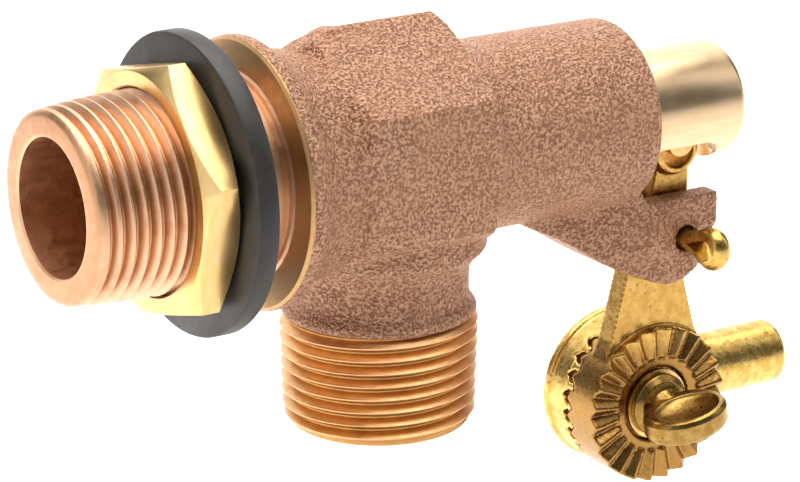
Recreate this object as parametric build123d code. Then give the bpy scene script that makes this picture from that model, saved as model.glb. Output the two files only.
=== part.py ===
from build123d import *
import os
from math import cos, radians, sin

# A tank float valve, in millimetres. X runs along the inlet, from the tank wall's flange face at
# X = 0 towards the plunger; Z is up and the outlet points down.

# Pipe threads: 3/4-14 NPT on both ends
PITCH = 25.4 / 14
THREAD_DEPTH = 1.0
TAPER = 1 / 32                  # radius gained per length
NOSE_CREST_R = 13.0
THREAD_LEAD = 1.2               # chamfer at a thread's free end

# Body casting
NOSE_X = -27.5
INLET_BORE_R = 9.1
SHANK_R = 13.3
THREAD_END_X = -10.4
FLANGE_R = 18.2
FLANGE_T = 2.3
FLANGE_BACK_X = 4.7             # where the flange's rounded back runs out into the neck
NECK_R = 14.7
NECK_X = 8.2
BLOCK_X0 = 10.4
BLOCK_X1 = 30.4
BLOCK_FLATS = 30.9
BLOCK_EDGE_R = 1.2
BLOCK_END_BEVEL = 0.8
BLOCK_ROOT_R = 16.05            # the neck meets the block a little outside its flats
BARREL_END_X = 59.2
BARREL_R = 12.9
BORE_DROP = 1.1                 # the plunger's axis lies this far below the inlet's
PLUNGER_BORE_R = 8.25
CHAMBER_R = 11.0
CHAMBER_X0 = 13.0
CHAMBER_X1 = 26.0
PARTITION_X = 8.8
SEAT_THREAD_R = 7.9

# Outlet
OUTLET_X = 21.4
OUTLET_BORE_R = 9.1
OUTLET_BORE_TOP_Z = -19.0       # machined this far up, then the cast passage's narrower bore
OUTLET_PASSAGE_R = 7.9
OUTLET_END_Z = -37.6
OUTLET_THREAD_TOP_Z = -22.6
OUTLET_COLLAR_Z = -21.6
OUTLET_COLLAR_R = 13.4
OUTLET_NECK_R = 12.4
OUTLET_ROOT_R = 14.2            # the neck flares to this where it meets the block
OUTLET_ROOT_Z = -14.6

# Fork under the barrel's mouth
FORK_HALF_T = 5.3
FORK_GAP_HALF = 2.0
FORK_TOP_Z = -13.4
FORK_END_X = 74.9

# Plunger and its seat disc
PLUNGER_R = 8.15
PLUNGER_END_X = 77.6
TRAVEL = 5.4
SEAT_LIP_X = 16.0
SEAT_LIP_R = 6.6
ORIFICE_R = 5.2
DISC_R = 7.0
DISC_T = 3.2
ORING_X = 38.0
ORING_WIRE_R = 1.1
ORING_GROOVE = (1.4, 6.0)       # half-width and floor radius
SCREW_R = 1.5
NOTCH_X = (61.5, 74.5)          # notch milled across the plunger's underside
NOTCH_FLOOR_Z = -12.0
NOTCH_CEILING_Z = -5.3
EYE_SLOT_X = (63.6, 74.5)       # narrower slot above the notch, for the lever's eye
EYE_SLOT_TOP_Z = 0.6
NOTCH_CORNER_R = 2.6

# Linkage
FULCRUM = (69.6, -19.5)
LINK_PIN = (68.7, -5.3)
LINK_PIN_R = 2.2
LINK_PIN_HALF = 4.6
COTTER_R = 1.6
COTTER_HOLE_R = 1.78
COTTER_EYE_Y = -11.0
COTTER_EYE_R = (1.55, 3.15)     # inside and outside of the eye
COTTER_TIP_SPREAD = 30
LEVER_HALF_T = 1.6
EYE_HALF_T = 3.4
EYE_R = 3.7
EYE_SLOT_R = 2.6
EYE_ROUNDING = 0.7
EYE_SLOT_ENDS = ((69.1, -6.9), (68.6, -3.9))

# Toothed joint between the lever and the float arm
DISC_CENTRE = (66.9, -44.4)
TOOTHED_R = 11.4
TEETH = 24
TOOTH_RISE = 0.75               # crest above the mean plane at the rim, and root below it
CREST_TRIM = 0.76               # share of the rise left when the teeth's sharp crests are cut flat
TOOTH_INNER_R = 7.0
FACE_Y = 3.05                   # mean plane of the lever's teeth, on both of its faces
TOOTH_GAP = 0.12
ARM_BACK_Y = 9.4
ARM_BOSS_R = 5.4
SOCKET_R = 4.7
SOCKET_Y = 6.7
SOCKET_END_X = 94.9
SOCKET_END_BEVEL = 0.8
ROD_TAP_R = 2.65                # 1/4-20, wall of the tapped hole
ROD_TAP_DEPTH = 14.0
CLAMP_HOLE_R = 3.3
CLAMP_SCREW_R = 2.9
CLAMP_TAP_R = 3.0
CLAMP_POCKET_R = 5.6
WASHER_R = 5.1
WASHER_T = 1.2
SCREW_COLLAR_R = 4.7
SCREW_COLLAR_T = 1.8
SCREW_NECK_R = 3.2
PADDLE_RADII = (6.4, 4.6)
PADDLE_HALF_T = 1.3
PADDLE_OFFSET = 8.0             # from the screw's seat to the paddle's middle
PADDLE_TILT = 12

# Tank fastening
NUT_FLATS = 31.75
NUT_X0 = -14.5
NUT_X1 = -9.2
NUT_BORE_R = 13.6
NUT_TURN = -13.8                # how far its corners are turned from the body's flats, in degrees
NUT_CORNER_SLOPE = 0.55
GASKET_R = 20.0
GASKET_BORE_R = 13.7
GASKET_X0 = -8.9
GASKET_X1 = -5.8
GASKET_EDGE_R = 0.4

os.makedirs("parts", exist_ok=True)


def turned(points, axis=Axis.X):
    """Revolve a closed outline given in the XY plane about one of its axes."""
    return revolve(make_face(Polyline(*points, close=True)), axis)


def rod(radius, start, end, at=(0, 0)):
    """A round bar along X from start to end, centred on (Y, Z) = at."""
    disc = Plane.YZ.offset(start) * Pos(*at) * Circle(radius)
    return extrude(disc, end - start)


def cross_rod(radius, y0, y1, centre):
    """A round bar along Y from y0 to y1, centred on (X, Z) = centre."""
    disc = Plane.XZ.offset(-y0) * Pos(*centre) * Circle(radius)
    return extrude(disc, y0 - y1)


def upright_bore(radius, z0, z1):
    """A drill's path up through the outlet, from z0 to z1."""
    return Pos(OUTLET_X, 0, z0) * extrude(Circle(radius), z1 - z0)


def plate(outline, half_thickness):
    """Thicken an outline in the XZ plane equally to both sides of Y = 0."""
    return extrude(Plane.XZ * outline, half_thickness, both=True)


def milled(x_span, z_span, half_width):
    """A rectangular cutter's path through Y = 0, between two X and two Z values."""
    centre = Pos(sum(x_span) / 2, sum(z_span) / 2)
    return plate(centre * Rectangle(x_span[1] - x_span[0], z_span[1] - z_span[0]), half_width)


def stadium(radius, half_thickness, ends):
    """Two crosswise discs and the straight web between them, as a slotted eye has."""
    (x0, z0), (x1, z1) = ends
    web = make_face(Wire.make_polygon(offset_corners(radius, ends), close=True))
    solid = extrude(web, half_thickness, both=True)
    solid += cross_rod(radius, -half_thickness, half_thickness, (x0, z0))
    solid += cross_rod(radius, -half_thickness, half_thickness, (x1, z1))
    return solid


def offset_corners(radius, ends):
    """Corners of the rectangle that is `radius` to each side of the line between two (X, Z) ends."""
    (x0, z0), (x1, z1) = ends
    length = ((x1 - x0) ** 2 + (z1 - z0) ** 2) ** 0.5
    nx, nz = -(z1 - z0) / length * radius, (x1 - x0) / length * radius
    return [(x0 + nx, 0, z0 + nz), (x1 + nx, 0, z1 + nz), (x1 - nx, 0, z1 - nz), (x0 - nx, 0, z0 - nz)]


def thread_profile(start, end, start_r, taper=TAPER):
    """Ridge and groove points of a pipe thread from its free end, with its lead chamfer."""
    flat = PITCH / 8
    points = [(start, start_r - THREAD_LEAD), (start + THREAD_LEAD, start_r - 0.1)]
    x = start + THREAD_LEAD + flat
    while x + PITCH < end:
        crest = start_r + taper * (x - start)
        points += [
            (x, crest),
            (x + PITCH / 2 - flat, crest - THREAD_DEPTH),
            (x + PITCH / 2, crest - THREAD_DEPTH),
            (x + PITCH - flat, crest),
        ]
        x += PITCH
    points.append((x, start_r + taper * (x - start)))
    return points


def hexagon(flats):
    return RegularPolygon(flats / 2, 6, major_radius=False, rotation=30)


def make_inlet():
    crests = thread_profile(NOSE_X, THREAD_END_X, NOSE_CREST_R)
    shank = [(THREAD_END_X, SHANK_R), (0, SHANK_R), (0, FLANGE_R), (FLANGE_T, FLANGE_R)]
    neck = [(NECK_X, NECK_R), (BLOCK_X0, BLOCK_ROOT_R), (BLOCK_X0 + 1, BLOCK_ROOT_R)]
    shoulder = [(FLANGE_T + 0.7, FLANGE_R - 0.6), (FLANGE_BACK_X, NECK_R + 0.9)]
    outline = [(NOSE_X, 0)] + crests + shank + shoulder + neck + [(BLOCK_X0 + 1, 0)]
    return turned(outline)


def make_outlet():
    """The outlet spigot, turned about Z and moved to its place."""
    length = OUTLET_THREAD_TOP_Z - OUTLET_END_Z
    crests = [(r, OUTLET_END_Z + s) for s, r in thread_profile(0, length, NOSE_CREST_R)]
    collar = [(NOSE_CREST_R, OUTLET_THREAD_TOP_Z), (OUTLET_COLLAR_R, OUTLET_COLLAR_Z)]
    neck = [(OUTLET_NECK_R, OUTLET_COLLAR_Z + 1.6), (OUTLET_NECK_R + 0.2, OUTLET_ROOT_Z - 3.4)]
    inside = OUTLET_ROOT_Z + 6.6
    root = [(OUTLET_ROOT_R, OUTLET_ROOT_Z), (OUTLET_ROOT_R, inside), (0, inside)]
    outline = [(0, OUTLET_END_Z)] + crests + collar + neck + root
    solid = revolve(Plane.XZ * make_face(Polyline(*outline, close=True)), Axis.Z)
    return Pos(OUTLET_X, 0, 0) * solid


def make_fork():
    """The two ears under the barrel's mouth, with the web that joins them to the barrel."""
    swoop = Spline((36.0, -11.0), (42.7, -13.5), (47.8, -16.0), (54.6, -20.4), (61.6, -24.1), (66.3, -25.8))
    toe = ThreePointArc(swoop @ 1, (72.1, -24.3), (74.5, -19.5))
    inside = [(62.7, FORK_TOP_Z), (58.6, -6.0), (40.0, -6.0), (36.0, -11.0)]
    end = Polyline(toe @ 1, (FORK_END_X, FORK_TOP_Z), *inside)
    web = plate(make_face(Curve() + [swoop, toe, end]), FORK_HALF_T)
    gap_outline = Polyline((64.3, -6), (80, -6), (80, -30), (59.8, -30), (61.2, -24), (64.0, -13), close=True)
    gap = plate(make_face(gap_outline), FORK_GAP_HALF)
    return web, gap


def make_valve_body():
    axis_below = (0, -BORE_DROP)
    block = extrude(Plane.YZ.offset(BLOCK_X0) * hexagon(BLOCK_FLATS), BLOCK_X1 - BLOCK_X0)
    block = fillet(block.edges().filter_by(Axis.X), BLOCK_EDGE_R)
    block = chamfer(block.faces().sort_by(Axis.X)[-1].edges(), BLOCK_END_BEVEL)
    web, gap = make_fork()
    casting = make_inlet() + block + make_outlet()
    casting += rod(BARREL_R, BLOCK_X1 - 2, BARREL_END_X, (0, -BORE_DROP / 2))
    casting += web
    casting -= gap
    casting -= rod(INLET_BORE_R, NOSE_X - 1, PARTITION_X)
    casting -= rod(SEAT_THREAD_R, PARTITION_X - 1, CHAMBER_X0 + 1, axis_below)
    casting -= rod(CHAMBER_R, CHAMBER_X0, CHAMBER_X1, axis_below)
    casting -= rod(PLUNGER_BORE_R, CHAMBER_X0, FORK_END_X + 5, axis_below)
    casting -= upright_bore(OUTLET_PASSAGE_R, OUTLET_END_Z, 0)
    casting -= upright_bore(OUTLET_BORE_R, OUTLET_END_Z - 1, OUTLET_BORE_TOP_Z)
    casting -= cross_rod(COTTER_HOLE_R, -8, 8, FULCRUM)
    return casting


def make_valve_seat():
    """The renewable seat screwed into the partition: thread, hexagon and raised lip."""
    outline = [
        (PARTITION_X + 0.4, ORIFICE_R), (PARTITION_X + 0.4, SEAT_THREAD_R), (CHAMBER_X0, SEAT_THREAD_R),
        (CHAMBER_X0, 8.0), (14.4, 8.0), (14.8, SEAT_LIP_R + 0.2), (SEAT_LIP_X - 0.3, SEAT_LIP_R),
        (SEAT_LIP_X, SEAT_LIP_R - 0.5), (SEAT_LIP_X, ORIFICE_R + 0.3), (SEAT_LIP_X - 0.3, ORIFICE_R),
    ]
    return Pos(0, 0, -BORE_DROP) * turned(outline)


DISC_FACE_X = SEAT_LIP_X + TRAVEL + 0.1
CUP_X = DISC_FACE_X + 0.8
CUP_FLOOR_X = DISC_FACE_X + DISC_T


def make_plunger():
    floor = CUP_FLOOR_X
    half, groove_r = ORING_GROOVE
    outline = [
        (CUP_X, PLUNGER_R - 0.3), (CUP_X + 0.3, PLUNGER_R),
        (ORING_X - half, PLUNGER_R), (ORING_X - half, groove_r),
        (ORING_X + half, groove_r), (ORING_X + half, PLUNGER_R),
        (PLUNGER_END_X - 1.0, PLUNGER_R), (PLUNGER_END_X, PLUNGER_R - 1.0), (PLUNGER_END_X, 0),
        (floor + 9, 0), (floor + 8, SCREW_R), (floor, SCREW_R),
        (floor, DISC_R + 0.05), (CUP_X, DISC_R + 0.05),
    ]
    stem = Pos(0, 0, -BORE_DROP) * turned(outline)
    notch = milled(NOTCH_X, (NOTCH_FLOOR_Z, NOTCH_CEILING_Z), 12)
    notch = fillet(notch.edges().filter_by(Axis.Y).group_by(Axis.Z)[-1], NOTCH_CORNER_R)
    eye_slot = milled(EYE_SLOT_X, (NOTCH_FLOOR_Z, EYE_SLOT_TOP_Z), EYE_HALF_T + 0.3)
    pin_reach = LINK_PIN_HALF + 0.05
    pin_hole = cross_rod(LINK_PIN_R, -pin_reach, pin_reach, LINK_PIN)
    return stem - notch - eye_slot - pin_hole


def make_seat_disc():
    body = rod(DISC_R, DISC_FACE_X, CUP_FLOOR_X, (0, -BORE_DROP))
    hole = rod(SCREW_R, DISC_FACE_X - 1, CUP_FLOOR_X + 1, (0, -BORE_DROP))
    return body - hole


def make_seat_washer():
    x = DISC_FACE_X
    outline = [(x - 0.8, SCREW_R), (x - 0.8, 4.1), (x - 0.6, 4.3), (x, 4.3), (x, SCREW_R)]
    return Pos(0, 0, -BORE_DROP) * turned(outline)


def make_seat_screw():
    x = DISC_FACE_X - 0.8
    head = [(x - 1.6, 0), (x - 1.6, 2.0), (x - 0.9, 2.8), (x, 2.9)]
    shank = [(x, SCREW_R), (CUP_FLOOR_X + 6, SCREW_R), (CUP_FLOOR_X + 6.6, 0)]
    slot = Pos(x - 1.4, 0, 0) * Box(1.2, 0.7, 7)
    return Pos(0, 0, -BORE_DROP) * (turned(head + shank) - slot)


def make_plunger_oring():
    ring = Torus(PLUNGER_R + 0.05 - ORING_WIRE_R, ORING_WIRE_R)
    return Pos(ORING_X, 0, -BORE_DROP) * Rot(0, 90, 0) * ring


def make_link_pin():
    return cross_rod(LINK_PIN_R, -LINK_PIN_HALF, LINK_PIN_HALF, LINK_PIN)


def tooth_groove(half_angle):
    """The wedge cut between two neighbouring teeth: every edge runs to the disc's centre."""
    reach = TOOTHED_R + 2
    rise = TOOTH_RISE * reach / TOOTHED_R
    left = (reach * cos(half_angle), -reach * sin(half_angle), rise)
    right = (reach * cos(half_angle), reach * sin(half_angle), rise)
    root = (reach, 0, -rise)
    centre = (0, 0, 0)
    corners = [[centre, left, root], [centre, root, right], [centre, right, left], [left, right, root]]
    faces = [Face(Wire.make_polygon(c, close=True)) for c in corners]
    return Solid(Shell(faces))


def tooth_ring(turn_offset=0.0):
    """A ring of teeth standing along +Z about the mean plane Z = 0, on a base below it."""
    rise = TOOTH_RISE * CREST_TRIM
    rise_in = rise * TOOTH_INNER_R / TOOTHED_R
    base = -2.2
    outline = [(TOOTH_INNER_R, base), (TOOTHED_R, base), (TOOTHED_R, rise), (TOOTH_INNER_R, rise_in)]
    ring = revolve(Plane.XZ * make_face(Polyline(*outline, close=True)), Axis.Z)
    step = 360 / TEETH
    groove = tooth_groove(radians(step / 2))
    cuts = [Rot(0, 0, turn_offset + i * step) * groove for i in range(TEETH)]
    return ring - cuts


def facing(y, sign, solid):
    """Stand a solid made along +Z on the plane Y = y at the disc's centre, looking to sign * Y."""
    tilt = Rot(-90, 0, 0) if sign > 0 else Rot(90, 0, 0)
    return Pos(DISC_CENTRE[0], y, DISC_CENTRE[1]) * tilt * solid


def make_lever():
    arm_left = [(67.2, -8.0), (65.7, -14.6), (62.2, -23.8), (59.4, -34.3), (57.2, -40.0)]
    arm_right = [(77.0, -40.0), (74.1, -34.3), (71.9, -26.3), (72.3, -15.0), (72.2, -8.0)]
    arm = plate(make_face(Polyline(*arm_left, *arm_right, close=True)), LEVER_HALF_T)
    eye = stadium(EYE_R, EYE_HALF_T, EYE_SLOT_ENDS)
    eye = fillet(eye.faces().filter_by(Axis.Y).edges(), EYE_ROUNDING)
    slot = stadium(EYE_SLOT_R, 6, EYE_SLOT_ENDS)
    web_half = FACE_Y - 1.0
    hub = cross_rod(TOOTHED_R, -web_half, web_half, DISC_CENTRE)
    hub += facing(FACE_Y - TOOTH_GAP / 2, 1, tooth_ring())
    hub += facing(-FACE_Y + TOOTH_GAP / 2, -1, tooth_ring())
    pocket = cross_rod(CLAMP_POCKET_R, -6, -FACE_Y + 1.6, DISC_CENTRE)
    rim = cross_rod(CLAMP_POCKET_R + 1.0, -FACE_Y - 0.2, -1.0, DISC_CENTRE)
    lever = arm + eye + hub + rim - pocket - slot
    lever -= cross_rod(CLAMP_HOLE_R, -8, 8, DISC_CENTRE)
    lever -= cross_rod(COTTER_HOLE_R, -8, 8, FULCRUM)
    return lever


def make_float_arm():
    step = 360 / TEETH
    disc = cross_rod(TOOTHED_R, FACE_Y + 1.0, ARM_BACK_Y, DISC_CENTRE)
    disc += facing(FACE_Y + TOOTH_GAP / 2, -1, tooth_ring(step / 2))
    boss = cross_rod(ARM_BOSS_R, FACE_Y + 0.3, FACE_Y + 2, DISC_CENTRE)
    socket = rod(SOCKET_R, DISC_CENTRE[0] + 2, SOCKET_END_X, (SOCKET_Y, DISC_CENTRE[1]))
    socket -= cross_rod(TOOTHED_R + 0.4, -FACE_Y, FACE_Y + 1.5, DISC_CENTRE)
    socket = chamfer(socket.faces().sort_by(Axis.X)[-1].edges(), SOCKET_END_BEVEL)
    arm = disc + boss + socket
    arm -= rod(ROD_TAP_R, SOCKET_END_X - ROD_TAP_DEPTH, SOCKET_END_X + 1, (SOCKET_Y, DISC_CENTRE[1]))
    arm -= cross_rod(CLAMP_TAP_R, -2, ARM_BACK_Y + 2, DISC_CENTRE)
    return arm


POCKET_FLOOR_Y = -FACE_Y + 1.6


def make_clamp_washer():
    ring = cross_rod(WASHER_R, POCKET_FLOOR_Y - 0.1 - WASHER_T, POCKET_FLOOR_Y - 0.1, DISC_CENTRE)
    return ring - cross_rod(CLAMP_TAP_R + 0.1, -8, 8, DISC_CENTRE)


def make_thumb_screw():
    """Threaded stud, shoulder and a dished oval paddle for finger and thumb."""
    seat_y = POCKET_FLOOR_Y - 0.1 - WASHER_T
    stud = cross_rod(CLAMP_SCREW_R, seat_y, ARM_BACK_Y - 0.6, DISC_CENTRE)
    collar = cross_rod(SCREW_COLLAR_R, seat_y - SCREW_COLLAR_T, seat_y, DISC_CENTRE)
    neck = cross_rod(SCREW_NECK_R, seat_y - PADDLE_OFFSET + 2, seat_y, DISC_CENTRE)
    paddle = extrude(Ellipse(*PADDLE_RADII), PADDLE_HALF_T, both=True)
    paddle = Pos(DISC_CENTRE[0], seat_y - PADDLE_OFFSET, DISC_CENTRE[1]) * Rot(PADDLE_TILT, 0, 0) * paddle
    return stud + collar + neck + paddle


def make_fulcrum_cotter():
    """A split pin: two half-round legs side by side, a drop-shaped eye in front, bent tips behind."""
    x, z = FULCRUM
    inner_r, outer_r = COTTER_EYE_R
    tail = Polyline((0, 2.9), (0, -2.9), (5.4, -COTTER_R), (5.4, COTTER_R), close=True)
    outer = Circle(outer_r) + make_face(tail)
    point = Polyline((0, 1.5), (0, -1.5), (3.6, -0.15), (3.6, 0.15), close=True)
    hole = Circle(inner_r) + make_face(point)
    loop = extrude(Plane.YZ * (outer - hole), 1.3, both=True)
    loop = Pos(x, COTTER_EYE_Y, z) * loop
    legs = cross_rod(COTTER_R, -6.2, 7.0, FULCRUM)
    split = Pos(x, 4.0, z) * Box(4, 7.0, 0.14)
    tips = [bent_tip(side) for side in (1, -1)]
    return loop + (legs - split) + [Pos(x, 6.4, z) * tip for tip in tips]


def bent_tip(side):
    """The spread end of one half-round leg, above (side 1) or below (side -1) the split."""
    half = cross_rod(COTTER_R - 0.1, -0.9, 3.6, (0, 0)) & Pos(0, 1.0, side * 1.1) * Box(4, 8, 2)
    return Rot(side * COTTER_TIP_SPREAD, 0, 0) * half


def make_lock_nut():
    outline = Rot(0, 0, NUT_TURN) * RegularPolygon(NUT_FLATS / 2, 6, major_radius=False)
    blank = extrude(Plane.YZ.offset(NUT_X0) * outline, NUT_X1 - NUT_X0)
    edge_r = NUT_FLATS / 2 - 0.2
    corner_r = NUT_FLATS / 3 ** 0.5 + 0.5
    rise = (corner_r - edge_r) * NUT_CORNER_SLOPE
    envelope = turned([
        (NUT_X0, 0), (NUT_X0, edge_r), (NUT_X0 + rise, corner_r),
        (NUT_X1 - rise, corner_r), (NUT_X1, edge_r), (NUT_X1, 0),
    ])
    nut = blank & envelope
    bore = turned([
        (NUT_X0 - 1, 0), (NUT_X0 - 1, NUT_BORE_R + 1.9), (NUT_X0 + 0.9, NUT_BORE_R),
        (NUT_X1 - 0.7, NUT_BORE_R), (NUT_X1 + 1, NUT_BORE_R + 1.7), (NUT_X1 + 1, 0),
    ])
    return nut - bore


def make_tank_gasket():
    ring = rod(GASKET_R, GASKET_X0, GASKET_X1)
    ring = fillet(ring.edges().filter_by(GeomType.CIRCLE), GASKET_EDGE_R)
    return ring - rod(GASKET_BORE_R, GASKET_X0 - 1, GASKET_X1 + 1)


MAKERS = {
    "valve_body": make_valve_body,
    "valve_seat": make_valve_seat,
    "plunger": make_plunger,
    "seat_disc": make_seat_disc,
    "seat_washer": make_seat_washer,
    "seat_screw": make_seat_screw,
    "plunger_oring": make_plunger_oring,
    "link_pin": make_link_pin,
    "lever": make_lever,
    "fulcrum_cotter": make_fulcrum_cotter,
    "float_arm": make_float_arm,
    "clamp_washer": make_clamp_washer,
    "thumb_screw": make_thumb_screw,
    "lock_nut": make_lock_nut,
    "tank_gasket": make_tank_gasket,
}

for name, make in MAKERS.items():
    export_step(make(), f"parts/{name}.step")
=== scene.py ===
from math import cos, pi, radians, sin, sqrt

import bpy
from mathutils import Matrix, Vector


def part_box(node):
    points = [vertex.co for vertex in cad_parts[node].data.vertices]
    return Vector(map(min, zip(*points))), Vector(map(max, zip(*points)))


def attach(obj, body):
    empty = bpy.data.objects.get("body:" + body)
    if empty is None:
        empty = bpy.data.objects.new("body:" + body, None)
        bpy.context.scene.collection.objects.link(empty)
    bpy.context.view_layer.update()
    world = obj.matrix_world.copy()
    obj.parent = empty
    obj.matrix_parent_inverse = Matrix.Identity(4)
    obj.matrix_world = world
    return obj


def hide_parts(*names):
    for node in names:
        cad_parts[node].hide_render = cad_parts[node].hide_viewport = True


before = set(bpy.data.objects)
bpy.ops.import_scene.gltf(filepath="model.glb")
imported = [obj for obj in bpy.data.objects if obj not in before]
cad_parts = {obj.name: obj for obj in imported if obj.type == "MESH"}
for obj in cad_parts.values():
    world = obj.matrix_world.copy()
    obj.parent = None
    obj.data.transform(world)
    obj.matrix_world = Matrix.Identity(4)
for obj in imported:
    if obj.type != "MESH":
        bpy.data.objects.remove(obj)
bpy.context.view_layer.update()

MM = 0.001

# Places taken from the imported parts, in metres. X runs along the inlet, Z is up.
BODY_LOW, BODY_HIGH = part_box("valve_body")
PLUNGER_LOW, PLUNGER_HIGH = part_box("plunger")
NUT_LOW, NUT_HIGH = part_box("lock_nut")
GASKET_LOW, GASKET_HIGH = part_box("tank_gasket")


# ---------------------------------------------------------------- shader recipes

class Value:
    """One socket of a recipe. Arithmetic on it adds Math nodes."""

    def __init__(self, recipe, socket):
        self.recipe = recipe
        self.socket = socket

    def also(self, name):
        """Another output of the same node."""
        return Value(self.recipe, self.socket.node.outputs[name])

    def math(self, operation, first, second):
        return self.recipe.node("ShaderNodeMath", {"operation": operation}, {0: first, 1: second})

    def __add__(self, other):
        return self.math("ADD", self, other)

    __radd__ = __add__

    def __sub__(self, other):
        return self.math("SUBTRACT", self, other)

    def __rsub__(self, other):
        return self.math("SUBTRACT", other, self)

    def __mul__(self, other):
        return self.math("MULTIPLY", self, other)

    __rmul__ = __mul__

    def root(self):
        return self.math("SQRT", self, 0.0)


class Recipe:
    """A material being mixed, on Object coordinates."""

    def __init__(self, name):
        self.material = bpy.data.materials.new(name)
        self.material.use_nodes = True
        self.nodes = self.material.node_tree.nodes
        self.links = self.material.node_tree.links
        self.shader = self.nodes["Principled BSDF"]
        self.place = self.node("ShaderNodeTexCoord", out="Object")

    def node(self, kind, settings=(), sockets=(), out=0):
        """A node of any kind: its settings first, then the values or links of its sockets."""
        made = self.nodes.new(kind)
        for key, value in dict(settings).items():
            setattr(made, key, value)
        for key, value in dict(sockets).items():
            self.feed(made.inputs[key], value)
        return Value(self, made.outputs[out])

    def feed(self, socket, value):
        if isinstance(value, Value):
            self.links.new(value.socket, socket)
        else:
            socket.default_value = value

    def finish(self, **sockets):
        """Set or link the shader's own sockets; an underscore in a name stands for a space."""
        for key, value in sockets.items():
            self.feed(self.shader.inputs[key.replace("_", " ")], value)
        return self.material

    def noise(self, size, detail=3.0, rough=0.5, stretch=None, seed=0.0):
        """Soft noise from 0 to 1 whose blotches are about `size` across."""
        place = self.place
        if stretch or seed:
            settings = {"Location": (seed, seed * 2.0, -seed), "Scale": stretch or (1.0, 1.0, 1.0)}
            place = self.node("ShaderNodeMapping", sockets={"Vector": place, **settings})
        sockets = {"Vector": place, "Scale": 1.0 / size, "Detail": detail, "Roughness": rough}
        return self.node("ShaderNodeTexNoise", sockets=sockets)

    def cells(self, size):
        """Distance from the nearest of scattered points about `size` apart."""
        sockets = {"Vector": self.place, "Scale": 1.0 / size}
        return self.node("ShaderNodeTexVoronoi", {"feature": "F1"}, sockets)

    def step(self, value, low, high):
        """0 below low, 1 above high and smooth between them."""
        settings = {"interpolation_type": "SMOOTHSTEP"}
        sockets = {"Value": value, "From Min": low, "From Max": high}
        return self.node("ShaderNodeMapRange", settings, sockets)

    def spread(self, value, low, high, to_low, to_high):
        """A value between low and high carried to between to_low and to_high."""
        sockets = {"Value": value, "From Min": low, "From Max": high, "To Min": to_low, "To Max": to_high}
        return self.node("ShaderNodeMapRange", {}, sockets)

    def tint(self, factor, first, second):
        """One colour or colour socket at factor 0, another at factor 1."""
        made = self.node("ShaderNodeMix", {"data_type": "RGBA"}, {0: factor}, out=2)
        for index, colour in ((6, first), (7, second)):
            if not isinstance(colour, Value):
                colour = (*colour, 1.0)
            self.feed(made.socket.node.inputs[index], colour)
        return made

    def axes(self):
        """The X, Y and Z of a point on the piece, in metres."""
        x = self.node("ShaderNodeSeparateXYZ", sockets={0: self.place}, out="X")
        return x, x.also("Y"), x.also("Z")

    def bump(self, height, strength, distance, under=None):
        """Relief `distance` metres deep, over another relief when one is given."""
        sockets = {"Height": height, "Strength": strength, "Distance": distance}
        if under is not None:
            sockets["Normal"] = under
        return self.node("ShaderNodeBump", sockets=sockets)


# Colours are linear red, green and blue.
# The bronze grain's two colours: painted shade in the grain's hollows and a painted highlight on its crests.
BRONZE_HOLLOW_SHADE = (0.27, 0.125, 0.070)
BRONZE_CREST_HIGHLIGHT = (0.610, 0.360, 0.240)
BRONZE_CLOUD = (0.480, 0.240, 0.135)
# Painted shade for the casting's small pits.
BRONZE_PIT_SHADE = (0.13, 0.05, 0.025)
THREAD_STAIN = (0.36, 0.15, 0.06)
# Inside the bores: partly the turned bronze's own brighter colour, partly painted light that lifts the shade
# deep in the bore.
BORE_LIGHTENED_BRONZE = (0.80, 0.46, 0.27)
FLANGE_BRONZE = (0.52, 0.31, 0.14)
# Radii in millimetres over which one machined face's colour gives way to the next.
BORE_EDGE = (9.2, 9.7)
FLANGE_EDGE = (13.8, 14.2)


def sand_cast_bronze():
    """The casting's outside: pinkish tan with a wormy grain left by the moulding sand, its hollows painted
    darker as shade and its crests painted lighter as a highlight.
    """
    r = Recipe("sand_cast_bronze")
    grain = r.noise(0.42 * MM, 2.0, 0.5)
    fine = r.noise(0.24 * MM, 2.0, 0.6, seed=3.0)
    broad = r.noise(6.5 * MM, 3.0, 0.55, seed=7.0)
    height = grain * 0.75 + fine * 0.25
    # Painted shade and highlight: the colour follows the grain's height, darker in its hollows and lighter on
    # its crests.
    lit = r.step(height, 0.41, 0.60)
    colour = r.tint(lit, BRONZE_HOLLOW_SHADE, BRONZE_CREST_HIGHLIGHT)
    colour = r.tint(r.step(broad, 0.35, 0.7) * 0.25, colour, BRONZE_CLOUD)
    # Painted shade: dark spots standing for the shade inside small casting pits, which have no relief of
    # their own here.
    pits = r.step(r.cells(1.6 * MM), 0.0, 0.22)
    colour = r.tint((1 - pits) * 0.45, colour, BRONZE_PIT_SHADE)
    coarse = r.bump(height, 1.0, 0.75 * MM)
    normal = r.bump(fine, 0.5, 0.15 * MM, coarse)
    rough = r.spread(fine, 0.3, 0.7, 0.40, 0.62)
    return r.finish(Base_Color=colour, Roughness=rough, Metallic=0.72, Normal=normal)


def radius_about(across, up, centre=(0.0, 0.0)):
    """Distance from an axis, from the two coordinates across it."""
    return ((across - centre[0]) * (across - centre[0]) + (up - centre[1]) * (up - centre[1])).root()


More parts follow.
